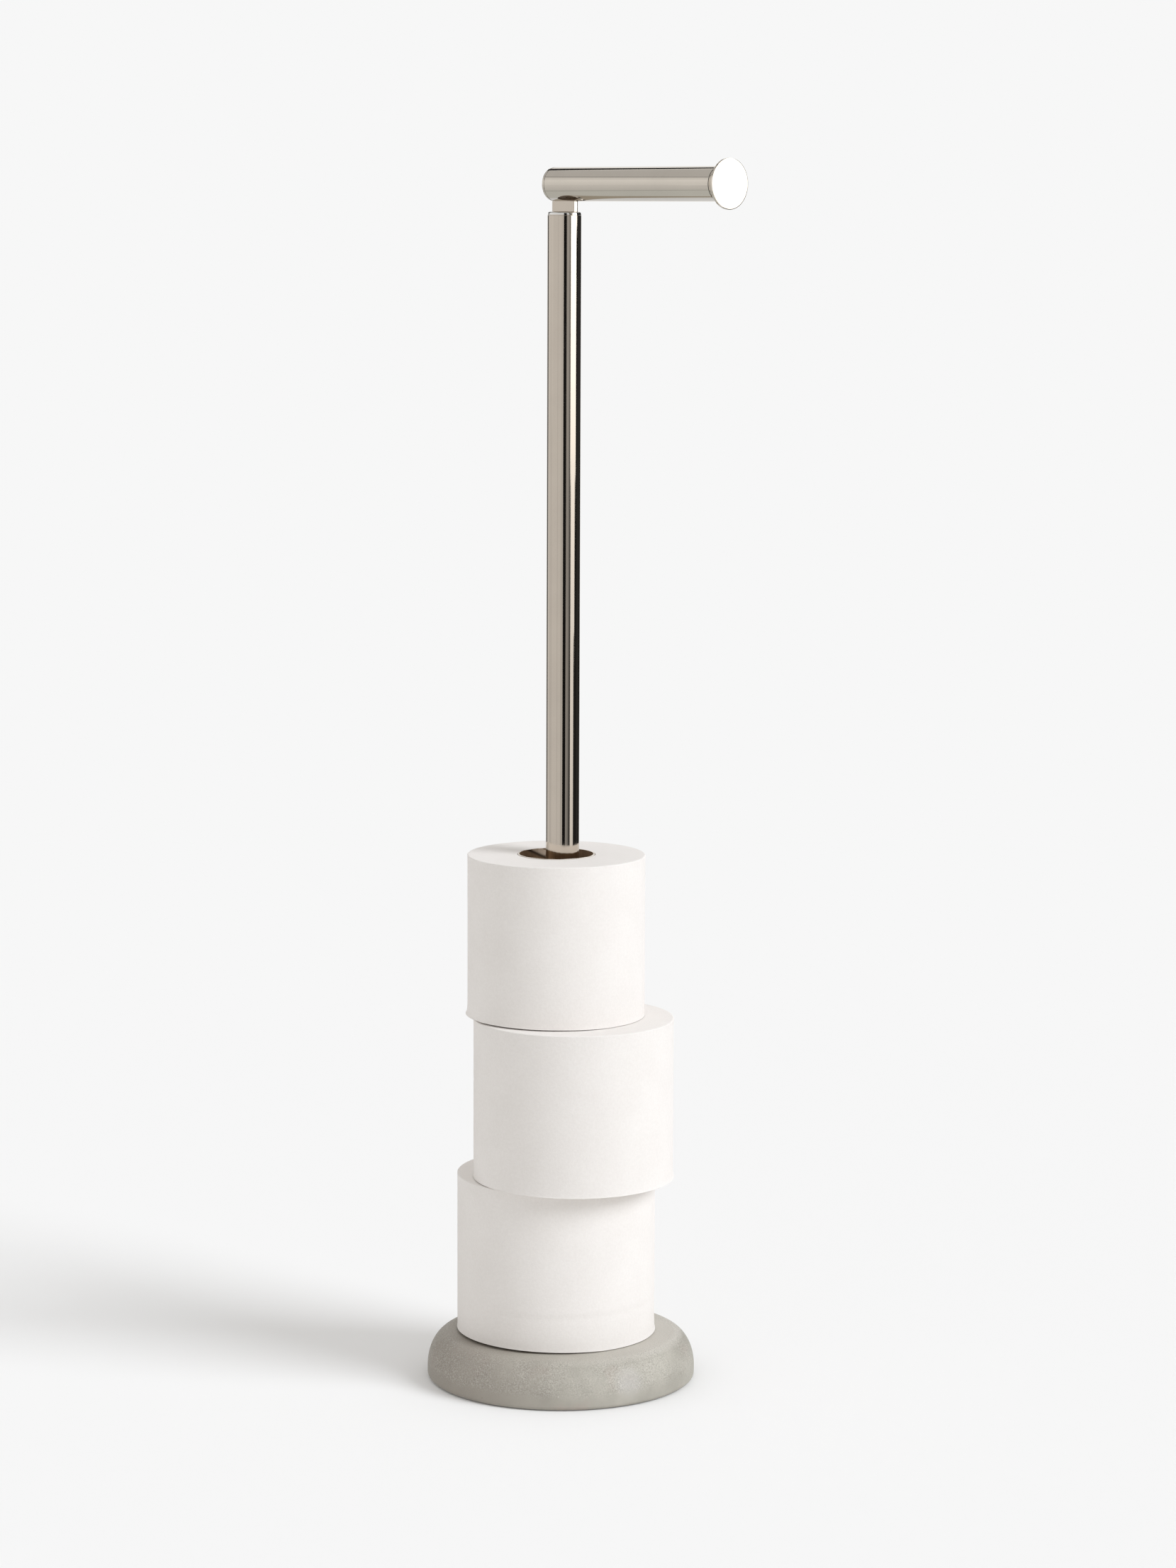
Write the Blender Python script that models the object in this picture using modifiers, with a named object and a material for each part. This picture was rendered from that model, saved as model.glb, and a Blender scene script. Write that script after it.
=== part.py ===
"""A freestanding toilet paper holder: a concrete base, a polished pole, a flip-up arm on a hidden
hinge, and three spare rolls on the pole. Metres, +Z up, +X along the arm, origin under the pole."""

import math

import bmesh
import bpy
from mathutils import Matrix

# Clearances
FIT_GAP = 0.0003  # between pieces that touch on the real object
PIN_CLEARANCE = 0.00015  # round the hinge pin
OVERRUN = 0.004  # how far a cutter runs past the face that it opens
SUNK = 0.001  # how far one shape reaches into the shape that it is joined to

# Concrete base with its foot pad
BASE_DIAMETER = 0.1624
BASE_HEIGHT = 0.0262
BASE_LOWER_ROUND = 0.0045
BASE_SIDE_HEIGHT = 0.001  # the upright band between the lower round and the shoulder
BASE_SHOULDER_REACH = 0.0135  # how far the shoulder curves in over the side
BASE_BOLT_PLAY = 0.0006
PAD_DIAMETER = 0.142
PAD_THICKNESS = 0.001

# Fixing bolt and its washers, in the recess under the base
BOLT_DIAMETER = 0.008
BOLT_HEAD_ACROSS_FLATS = 0.013
BOLT_HEAD_HEIGHT = 0.0053
BOLT_TIP_CHAMFER = 0.001
BOLT_ENGAGEMENT = 0.014
LOAD_WASHER_DIAMETER = 0.030
LOAD_WASHER_THICKNESS = 0.002
SPRING_WASHER_DIAMETER = 0.0148
SPRING_WASHER_THICKNESS = 0.0022
SPRING_WASHER_SPLIT = 0.0008
SPRING_WASHER_SLANT = math.radians(25)
RECESS_SIDE_ROOM = 0.003
RECESS_HEADROOM = 0.0008

# Pole with its gasket and threaded foot plug
POLE_DIAMETER = 0.020
POLE_WALL = 0.0012
POLE_LENGTH = 0.67155
POLE_EDGE_CHAMFER = 0.0003
GASKET_THICKNESS = 0.001
GASKET_INSET = 0.0004
PLUG_LENGTH = 0.020
PLUG_CHAMFER = 0.0008

# Post cap: ring, neck and the tongue that holds the hinge
CAP_HEIGHT = 0.0022
CAP_CHAMFER = 0.0007
CAP_SPIGOT_LENGTH = 0.018
NECK_HEIGHT = 0.00585  # from the ring to the underside of the arm
NECK_INSET = 0.0009  # from the ring's side to the neck's ends
NECK_THICKNESS = 0.003
TONGUE_HEADROOM = 0.0018  # between the tongue's round end and the arm's inner wall

# Arm, hinge and end flange
ARM_DIAMETER = 0.020
ARM_WALL = 0.0012
ARM_REACH = 0.1364  # from the pole's axis to the end flange's face
ARM_TAIL = 0.0093  # from the pole's axis back to the rear face
REAR_RIM = 0.0012
REAR_RIM_ROUND = 0.0005
HINGE_BLOCK_NOSE = 0.014  # from the pin to the block's front end
HINGE_PIN_DIAMETER = 0.004
HINGE_PIN_SETBACK = 0.0003  # of the pin's ends from the block's side
HINGE_WASHER_DIAMETER = 0.009
HINGE_WASHER_THICKNESS = 0.0008
FLANGE_DIAMETER = 0.029
FLANGE_LENGTH = 0.0076
FLANGE_RIM = 0.0014
FLANGE_EDGE_CHAMFER = 0.0004
FLANGE_SPIGOT_LENGTH = 0.012

# Spare rolls
ROLL_HEIGHT = 0.0976
ROLL_EDGE_ROUND = 0.0012
BOTTOM_ROLL_DIAMETER = 0.1204
MIDDLE_ROLL_DIAMETER = 0.1210
TOP_ROLL_DIAMETER = 0.1072
CORE_BORE = 0.0444
CORE_WALL = 0.0008
CORE_SETBACK = 0.0005  # of the cardboard's ends from the paper's

# Each roll hangs off centre on the pole, by a share of the play in its core, towards a bearing.
BOTTOM_ROLL_PLAY_SHARE, BOTTOM_ROLL_BEARING = 0.49, math.radians(170)
MIDDLE_ROLL_PLAY_SHARE, MIDDLE_ROLL_BEARING = 0.84, math.radians(0)
TOP_ROLL_PLAY_SHARE, TOP_ROLL_BEARING = 0.30, math.radians(225)

# Facets round each kind of shape
BASE_SIDES = 72
ROLL_SIDES = 64
TUBE_SIDES = 64
HIDDEN_SIDES = 40
SMALL_SIDES = 24
ARC_STEPS = 6
SHOULDER_STEPS = 10
SMOOTH_ANGLE = math.radians(35)
MERGE_DISTANCE = 0.00001

# Radii worked out from the sizes above
base_radius = BASE_DIAMETER / 2
bolt_radius = BOLT_DIAMETER / 2
pole_radius = POLE_DIAMETER / 2
pole_inner_radius = pole_radius - POLE_WALL
arm_radius = ARM_DIAMETER / 2
arm_inner_radius = arm_radius - ARM_WALL
block_radius = arm_inner_radius - FIT_GAP
pin_radius = HINGE_PIN_DIAMETER / 2
pin_hole_radius = pin_radius + PIN_CLEARANCE
neck_radius = pole_radius - NECK_INSET
tongue_radius = arm_inner_radius - TONGUE_HEADROOM
slot_half_width = NECK_THICKNESS / 2 + FIT_GAP
core_inner_radius = CORE_BORE / 2
core_outer_radius = core_inner_radius + CORE_WALL
roll_play = core_inner_radius - pole_radius

# Heights, from the floor up
base_bottom = PAD_THICKNESS + FIT_GAP
base_top = base_bottom + BASE_HEIGHT
washer_stack = LOAD_WASHER_THICKNESS + SPRING_WASHER_THICKNESS + 3 * FIT_GAP
recess_depth = washer_stack + BOLT_HEAD_HEIGHT + RECESS_HEADROOM
recess_ceiling = base_bottom + recess_depth
load_washer_bottom = recess_ceiling - FIT_GAP - LOAD_WASHER_THICKNESS
spring_washer_bottom = load_washer_bottom - FIT_GAP - SPRING_WASHER_THICKNESS
bolt_head_top = spring_washer_bottom - FIT_GAP
gasket_bottom = base_top + FIT_GAP
pole_bottom = gasket_bottom + GASKET_THICKNESS + FIT_GAP
pole_top = pole_bottom + POLE_LENGTH
cap_bottom = pole_top + FIT_GAP
cap_top = cap_bottom + CAP_HEIGHT
arm_axis_height = cap_top + NECK_HEIGHT + arm_radius
shoulder_top = arm_axis_height - arm_radius - FIT_GAP
first_roll_bottom = base_top + FIT_GAP

# Places along the arm, from the pole's axis
rear_rim_front = REAR_RIM - ARM_TAIL
arm_tube_rear = rear_rim_front + FIT_GAP
flange_back = ARM_REACH - FLANGE_LENGTH
arm_tube_front = flange_back - FIT_GAP

NICKEL = (0.62, 0.585, 0.53)
ZINC = (0.55, 0.56, 0.57)
BLACK = (0.03, 0.03, 0.03)
NYLON = (0.75, 0.74, 0.70)
CONCRETE = (0.40, 0.375, 0.33)
TISSUE = (0.90, 0.885, 0.87)
BOARD = (0.30, 0.20, 0.125)


def clear_scene():
    for obj in list(bpy.data.objects):
        bpy.data.objects.remove(obj, do_unlink=True)


def new_collection(name):
    collection = bpy.data.collections.new(name)
    bpy.context.scene.collection.children.link(collection)
    return collection


def new_object(name, data, collection, parent=None):
    obj = bpy.data.objects.new(name, data)
    collection.objects.link(obj)
    obj.parent = parent
    return obj


def new_axis(name, location):
    """An empty on a joint's axis, which carries the pieces that move with it."""
    axis = new_object(name, None, parts)
    axis.empty_display_size = POLE_DIAMETER
    axis.location = location
    return axis


def shade(mesh):
    mesh.shade_smooth()
    mesh.set_sharp_from_angle(angle=SMOOTH_ANGLE)


def plain_mesh(obj):
    """Swap an object for its evaluated mesh, with its loose caps and seams welded."""
    bpy.context.view_layer.update()
    graph = bpy.context.evaluated_depsgraph_get()
    mesh = bpy.data.meshes.new_from_object(obj.evaluated_get(graph))
    welded = bmesh.new()
    welded.from_mesh(mesh)
    bmesh.ops.remove_doubles(welded, verts=welded.verts, dist=MERGE_DISTANCE)
    welded.to_mesh(mesh)
    welded.free()
    shade(mesh)
    name, collection, parent = obj.name, obj.users_collection[0], obj.parent
    bpy.data.objects.remove(obj, do_unlink=True)
    mesh.name = name
    return new_object(name, mesh, collection, parent)


def turned(name, outline, sides, parent, hollow=False):
    """A shape turned about its own Z axis from (radius, height) points that run down its outer side."""
    mesh = bpy.data.meshes.new(name)
    edges = [(i, i + 1) for i in range(len(outline) - 1)]
    if hollow:
        edges.append((len(outline) - 1, 0))
    mesh.from_pydata([(radius, 0, height) for radius, height in outline], edges, [])
    obj = new_object(name, mesh, parts, parent)
    screw = obj.modifiers.new("Turn", "SCREW")
    screw.steps = screw.render_steps = sides
    screw.use_merge_vertices = True
    screw.merge_threshold = MERGE_DISTANCE
    return plain_mesh(obj)


def ring(name, outer, inner, height, sides, parent, chamfer=0):
    """A tube or washer that stands on its own origin, with its outer edges chamfered where asked."""
    outline = [(inner, 0), (inner, height)]
    if chamfer:
        outline += [(outer - chamfer, height), (outer, height - chamfer)]
        outline += [(outer, chamfer), (outer - chamfer, 0)]
    else:
        outline += [(outer, height), (outer, 0)]
    return turned(name, outline, sides, parent, hollow=True)


def arc(centre, reach, start, end, steps=ARC_STEPS):
    """Points on part of an ellipse, from one angle to another."""
    angles = [start + (end - start) * i / steps for i in range(steps + 1)]
    return [(centre[0] + reach[0] * math.cos(a), centre[1] + reach[1] * math.sin(a)) for a in angles]


def from_bmesh(name, shape, collection, parent):
    mesh = bpy.data.meshes.new(name)
    shape.to_mesh(mesh)
    shape.free()
    shade(mesh)
    return new_object(name, mesh, collection, parent)


def box(name, low, high, collection, parent):
    size = [b - a for a, b in zip(low, high)]
    middle = [(a + b) / 2 for a, b in zip(low, high)]
    shape = bmesh.new()
    bmesh.ops.create_cube(shape, size=1, matrix=Matrix.Translation(middle) @ Matrix.Diagonal((*size, 1)))
    return from_bmesh(name, shape, collection, parent)


def cylinder(name, radius, low, high, sides, collection, parent):
    """A cylinder about its own Z axis."""
    shape = bmesh.new()
    lift = Matrix.Translation((0, 0, (low + high) / 2))
    bmesh.ops.create_cone(
        shape, cap_ends=True, segments=sides, radius1=radius, radius2=radius, depth=high - low, matrix=lift
    )
    return from_bmesh(name, shape, collection, parent)


def plate(name, outline, thickness, parent):
    """A flat outline in the XZ plane, with its thickness along Y."""
    curve = bpy.data.curves.new(name, "CURVE")
    curve.dimensions = "2D"
    curve.fill_mode = "BOTH"
    curve.extrude = thickness / 2
    spline = curve.splines.new("POLY")
    spline.points.add(len(outline) - 1)
    for point, (x, z) in zip(spline.points, outline):
        point.co = (x, z, 0, 1)
    spline.use_cyclic_u = True
    obj = plain_mesh(new_object(name, curve, tools, parent))
    obj.data.transform(Matrix.Rotation(math.radians(90), 4, "X"))
    return obj


def combine(obj, other, operation):
    """Cut, join or intersect with a helper, which stays in the cutters' collection out of the render."""
    other.hide_render = True
    other.display_type = "WIRE"
    modifier = obj.modifiers.new(f"{operation.title()} {other.name}", "BOOLEAN")
    modifier.object = other
    modifier.operation = operation
    modifier.solver = "EXACT"


def along_arm(obj, distance=0):
    """Lay a shape's own Z axis along the arm, with its origin this far in front of the pin."""
    obj.rotation_euler = (0, math.radians(90), 0)
    obj.location = (distance, 0, 0)
    return obj


def across_arm(obj, distance=0):
    """Lay a shape's own Z axis along the hinge pin."""
    obj.rotation_euler = (math.radians(-90), 0, 0)
    obj.location = (0, distance, 0)
    return obj


def finish(obj, colour, metallic, roughness):
    material = bpy.data.materials.new(obj.name)
    material.use_nodes = True
    shader = material.node_tree.nodes["Principled BSDF"]
    shader.inputs["Base Color"].default_value = (*colour, 1)
    shader.inputs["Metallic"].default_value = metallic
    shader.inputs["Roughness"].default_value = roughness
    material.diffuse_color = (*colour, 1)
    obj.data.materials.clear()
    obj.data.materials.append(material)
    return obj


def polished(obj):
    return finish(obj, NICKEL, 1, 0.08)


def plated(obj):
    return finish(obj, ZINC, 1, 0.35)


def build_base(stand):
    """The cast disc: flat under and on top, with a full bullnose side and a recess for the bolt."""
    lower_centre = (base_radius - BASE_LOWER_ROUND, BASE_LOWER_ROUND)
    shoulder_centre = (base_radius - BASE_SHOULDER_REACH, BASE_LOWER_ROUND + BASE_SIDE_HEIGHT)
    shoulder_reach = (BASE_SHOULDER_REACH, BASE_HEIGHT - shoulder_centre[1])
    lower_reach = (BASE_LOWER_ROUND, BASE_LOWER_ROUND)
    bolt_hole = bolt_radius + BASE_BOLT_PLAY
    recess = LOAD_WASHER_DIAMETER / 2 + RECESS_SIDE_ROOM
    outline = [(bolt_hole, recess_depth), (bolt_hole, BASE_HEIGHT)]
    outline += arc(shoulder_centre, shoulder_reach, math.radians(90), 0, SHOULDER_STEPS)
    outline += arc(lower_centre, lower_reach, 0, math.radians(-90))
    outline += [(recess, 0), (recess, recess_depth)]
    base = turned("concrete_base", outline, BASE_SIDES, stand, hollow=True)
    base.location.z = base_bottom
    finish(base, CONCRETE, 0, 0.8)

    pad = cylinder("foot_pad", PAD_DIAMETER / 2, 0, PAD_THICKNESS, BASE_SIDES, parts, stand)
    finish(pad, BLACK, 0, 0.9)


def build_fixing(stand):
    """The bolt that draws the pole down on the base, with a load washer and a split spring washer."""
    bore = bolt_radius + FIT_GAP
    washer = ring(
        "load_washer", LOAD_WASHER_DIAMETER / 2, bore, LOAD_WASHER_THICKNESS, HIDDEN_SIDES, stand
    )
    washer.location.z = load_washer_bottom
    plated(washer)

    outer = SPRING_WASHER_DIAMETER / 2
    spring = ring("spring_washer", outer, bore, SPRING_WASHER_THICKNESS, SMALL_SIDES, stand)
    spring.location.z = spring_washer_bottom
    split_low = (0, -SPRING_WASHER_SPLIT / 2, -SPRING_WASHER_THICKNESS)
    split_high = (outer + OVERRUN, SPRING_WASHER_SPLIT / 2, SPRING_WASHER_THICKNESS)
    split = box("spring_washer_split", split_low, split_high, tools, stand)
    split.location.z = spring_washer_bottom + SPRING_WASHER_THICKNESS / 2
    split.rotation_euler.x = SPRING_WASHER_SLANT
    combine(spring, split, "DIFFERENCE")
    plated(spring)

    tip = pole_bottom + BOLT_ENGAGEMENT - bolt_head_top
    shank = [(0, tip), (bolt_radius - BOLT_TIP_CHAMFER, tip), (bolt_radius, tip - BOLT_TIP_CHAMFER)]
    bolt = turned("fixing_bolt", shank + [(bolt_radius, -SUNK), (0, -SUNK)], SMALL_SIDES, stand)
    bolt.location.z = bolt_head_top
    corner = BOLT_HEAD_ACROSS_FLATS / 2 / math.cos(math.radians(30))
    head = cylinder("fixing_bolt_head", corner, -BOLT_HEAD_HEIGHT, 0, 6, tools, bolt)
    combine(bolt, head, "UNION")
    plated(bolt)


def build_pole(stand):
    """The gasket on the concrete, the tube on the gasket, and the threaded plug in the tube's foot."""
    bore = bolt_radius + FIT_GAP
    gasket = ring("pole_gasket", pole_radius - GASKET_INSET, bore, GASKET_THICKNESS, HIDDEN_SIDES, stand)
    gasket.location.z = gasket_bottom
    finish(gasket, BLACK, 0, 0.8)

    tube = ring(
        "pole_tube", pole_radius, pole_inner_radius, POLE_LENGTH, TUBE_SIDES, stand, POLE_EDGE_CHAMFER
    )
    tube.location.z = pole_bottom
    polished(tube)

    plug_radius = pole_inner_radius - FIT_GAP
    plug = ring("threaded_plug", plug_radius, bore, PLUG_LENGTH, HIDDEN_SIDES, stand, PLUG_CHAMFER)
    plug.location.z = pole_bottom
    plated(plug)


def build_post_cap(stand):
    """The cap on the pole: a spigot, a chamfered ring, and a bar milled flat that ends in a tongue."""
    spigot = pole_inner_radius - FIT_GAP
    outline = [(0, CAP_HEIGHT), (pole_radius - CAP_CHAMFER, CAP_HEIGHT)]
    outline += [(pole_radius, CAP_HEIGHT - CAP_CHAMFER), (pole_radius, 0), (spigot, 0)]
    outline += [(spigot, PLUG_CHAMFER - CAP_SPIGOT_LENGTH), (spigot - PLUG_CHAMFER, -CAP_SPIGOT_LENGTH)]
    cap = turned("post_cap", outline + [(0, -CAP_SPIGOT_LENGTH)], TUBE_SIDES, stand)
    cap.location.z = cap_bottom

    root = CAP_HEIGHT - SUNK
    shoulder = shoulder_top - cap_bottom
    eye = arm_axis_height - cap_bottom
    past_bar = neck_radius + OVERRUN
    outline = [(past_bar, root), (past_bar, shoulder), (tongue_radius, shoulder)]
    outline += arc((0, eye), (tongue_radius, tongue_radius), 0, math.radians(180), 2 * ARC_STEPS)
    outline += [(-tongue_radius, shoulder), (-past_bar, shoulder), (-past_bar, root)]
    neck = plate("neck_plate", outline, NECK_THICKNESS, cap)
    bar_top = eye + tongue_radius + OVERRUN
    bar = cylinder("neck_bar", neck_radius, root - OVERRUN, bar_top, TUBE_SIDES, tools, cap)
    combine(neck, bar, "INTERSECT")

    hole = cylinder("tongue_eye", pin_hole_radius, -OVERRUN, OVERRUN, SMALL_SIDES, tools, cap)
    across_arm(hole)
    hole.location.z = eye
    combine(cap, neck, "UNION")
    combine(cap, hole, "DIFFERENCE")
    polished(cap)


def build_arm(arm):
    """The slotted tube, and the flange that closes its front end and stops the roll."""
    length = arm_tube_front - arm_tube_rear
    tube = ring("arm_tube", arm_radius, arm_inner_radius, length, TUBE_SIDES, arm)
    along_arm(tube, arm_tube_rear)
    slot = hinge_slot("arm_tube_slot", arm)
    combine(tube, slot, "DIFFERENCE")
    polished(tube)

    face_radius = FLANGE_DIAMETER / 2
    outline = [(0, FLANGE_LENGTH), (face_radius - FLANGE_EDGE_CHAMFER, FLANGE_LENGTH)]
    outline.append((face_radius, FLANGE_LENGTH - FLANGE_EDGE_CHAMFER))
    outline.append((face_radius, FLANGE_LENGTH - FLANGE_RIM))
    spigot = arm_inner_radius - FIT_GAP
    outline += [(arm_radius, 0), (spigot, 0), (spigot, -FLANGE_SPIGOT_LENGTH), (0, -FLANGE_SPIGOT_LENGTH)]
    flange = turned("end_flange", outline, TUBE_SIDES, arm)
    polished(along_arm(flange, flange_back))


def hinge_slot(name, arm):
    """The slot for the neck: open underneath and at the rear, so that the arm can fold up."""
    low = (-ARM_TAIL - OVERRUN, -slot_half_width, -arm_radius - OVERRUN)
    high = (tongue_radius + FIT_GAP, slot_half_width, tongue_radius + FIT_GAP)
    return box(name, low, high, tools, arm)


def build_hinge(arm):
    """The block that closes the tube's rear end and holds the pin, and the washers beside the tongue."""
    rim = arm_radius
    front = HINGE_BLOCK_NOSE + ARM_TAIL
    outline = [(0, front), (block_radius - PLUG_CHAMFER, front), (block_radius, front - PLUG_CHAMFER)]
    outline += [(block_radius, REAR_RIM), (rim, REAR_RIM)]
    round_centre = (rim - REAR_RIM_ROUND, REAR_RIM_ROUND)
    outline += arc(round_centre, (REAR_RIM_ROUND, REAR_RIM_ROUND), 0, math.radians(-90), ARC_STEPS // 2)
    block = turned("hinge_block", outline + [(0, 0)], HIDDEN_SIDES, arm)
    along_arm(block, -ARM_TAIL)
    combine(block, hinge_slot("hinge_block_slot", arm), "DIFFERENCE")

    washer_radius = HINGE_WASHER_DIAMETER / 2
    pocket_depth = slot_half_width + HINGE_WASHER_THICKNESS + FIT_GAP
    pocket = cylinder(
        "washer_pockets", washer_radius + FIT_GAP, -pocket_depth, pocket_depth, SMALL_SIDES, tools, arm
    )
    combine(block, across_arm(pocket), "DIFFERENCE")
    reach = block_radius + OVERRUN
    hole = cylinder("pin_hole", pin_hole_radius, -reach, reach, SMALL_SIDES, tools, arm)
    combine(block, across_arm(hole), "DIFFERENCE")
    polished(block)

    half_pin = math.sqrt(block_radius**2 - pin_radius**2) - HINGE_PIN_SETBACK
    pin = cylinder("hinge_pin", pin_radius, -half_pin, half_pin, SMALL_SIDES, parts, arm)
    plated(across_arm(pin))

    for side, face in (("left", slot_half_width), ("right", -slot_half_width - HINGE_WASHER_THICKNESS)):
        washer = ring(
            f"hinge_washer_{side}", washer_radius, pin_hole_radius, HINGE_WASHER_THICKNESS, SMALL_SIDES, arm
        )
        finish(across_arm(washer, face), NYLON, 0, 0.5)


def build_roll(position, diameter, play_share, bearing, bottom):
    """One spare roll: the wound paper and its cardboard core."""
    offset = roll_play * play_share
    place = (offset * math.cos(bearing), offset * math.sin(bearing), bottom)
    slide = new_axis(f"{position}_roll_slide", place)
    outer, inner = diameter / 2, core_outer_radius + FIT_GAP
    edge = (ROLL_EDGE_ROUND, ROLL_EDGE_ROUND)
    upper, lower = ROLL_HEIGHT - ROLL_EDGE_ROUND, ROLL_EDGE_ROUND
    outline = [(inner, 0), (inner, ROLL_HEIGHT)]
    outline += arc((outer - ROLL_EDGE_ROUND, upper), edge, math.radians(90), 0, ARC_STEPS // 2)
    outline += arc((outer - ROLL_EDGE_ROUND, lower), edge, 0, math.radians(-90), ARC_STEPS // 2)
    paper = turned(f"{position}_roll_paper", outline, ROLL_SIDES, slide, hollow=True)
    finish(paper, TISSUE, 0, 0.9)

    core_height = ROLL_HEIGHT - 2 * CORE_SETBACK
    core = ring(
        f"{position}_roll_core", core_outer_radius, core_inner_radius, core_height, HIDDEN_SIDES, slide
    )
    core.location.z = CORE_SETBACK
    finish(core, BOARD, 0, 0.9)


def build_rolls():
    rolls = (
        ("bottom", BOTTOM_ROLL_DIAMETER, BOTTOM_ROLL_PLAY_SHARE, BOTTOM_ROLL_BEARING),
        ("middle", MIDDLE_ROLL_DIAMETER, MIDDLE_ROLL_PLAY_SHARE, MIDDLE_ROLL_BEARING),
        ("top", TOP_ROLL_DIAMETER, TOP_ROLL_PLAY_SHARE, TOP_ROLL_BEARING),
    )
    for level, (position, diameter, play_share, bearing) in enumerate(rolls):
        build_roll(
            position, diameter, play_share, bearing, first_roll_bottom + level * (ROLL_HEIGHT + FIT_GAP)
        )


clear_scene()
parts = new_collection("toilet_paper_holder")
tools = new_collection("cutters_and_helpers")
stand_axis = new_axis("stand", (0, 0, 0))
arm_pivot = new_axis("arm_pivot", (0, 0, arm_axis_height))
build_base(stand_axis)
build_fixing(stand_axis)
build_pole(stand_axis)
build_post_cap(stand_axis)
build_arm(arm_pivot)
build_hinge(arm_pivot)
build_rolls()
bpy.context.view_layer.update()
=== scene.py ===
from math import atan2, cos, degrees, exp, pi, radians, sin, sqrt

import bmesh
import bpy
from mathutils import Matrix, Vector


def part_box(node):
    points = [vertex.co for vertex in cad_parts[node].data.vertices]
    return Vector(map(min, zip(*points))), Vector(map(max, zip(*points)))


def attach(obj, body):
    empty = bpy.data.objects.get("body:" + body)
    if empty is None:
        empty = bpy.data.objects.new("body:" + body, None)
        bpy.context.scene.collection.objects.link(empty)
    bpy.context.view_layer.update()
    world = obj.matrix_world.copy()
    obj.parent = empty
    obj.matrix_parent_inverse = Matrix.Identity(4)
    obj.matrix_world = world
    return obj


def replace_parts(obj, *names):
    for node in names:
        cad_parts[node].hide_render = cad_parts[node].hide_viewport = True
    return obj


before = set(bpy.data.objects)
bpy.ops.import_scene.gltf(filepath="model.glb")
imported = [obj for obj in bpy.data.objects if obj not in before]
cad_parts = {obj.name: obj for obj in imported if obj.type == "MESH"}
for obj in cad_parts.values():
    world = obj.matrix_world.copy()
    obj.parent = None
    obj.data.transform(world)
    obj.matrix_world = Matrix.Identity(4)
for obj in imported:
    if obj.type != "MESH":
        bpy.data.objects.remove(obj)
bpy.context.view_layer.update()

scene = bpy.context.scene
scene.view_settings.view_transform = "Standard"
mm = 0.001
fullTurn = 2 * pi


# Node trees are written as expressions: a Wire is one output socket
class Wire:
    def __init__(self, graph, socket):
        self.graph = graph
        self.socket = socket

    def other(self, name):
        return Wire(self.graph, self.socket.node.outputs[name])

    def math(self, operation, *values):
        return self.graph.node("ShaderNodeMath", {"operation": operation}, [self, *values])

    def __add__(self, value):
        return self.math("ADD", value)

    def __sub__(self, value):
        return self.math("SUBTRACT", value)

    def __rsub__(self, value):
        return self.graph.node("ShaderNodeMath", {"operation": "SUBTRACT"}, [value, self])

    def __mul__(self, value):
        return self.math("MULTIPLY", value)

    def __truediv__(self, value):
        return self.math("DIVIDE", value)

    def __pow__(self, value):
        return self.math("POWER", value)

    __radd__ = __add__
    __rmul__ = __mul__

    def atLeast(self, value):
        return self.math("MAXIMUM", value)

    def atMost(self, value):
        return self.math("MINIMUM", value)

    def step(self, low, high, start=0, end=1):  # a soft ramp from start to end between low and high
        sockets = [self, low, high, start, end]
        return self.graph.node("ShaderNodeMapRange", {"interpolation_type": "SMOOTHSTEP"}, sockets)

    def bell(self, centre, width):  # 1 at the centre, fading over the width on both sides
        return ((self - centre) / width).math("MULTIPLY", (self - centre) / -width).math("EXPONENT")

    def fade(self, length):  # 1 at zero, dying away over the length
        return (self / (length * -1)).math("EXPONENT")


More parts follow.
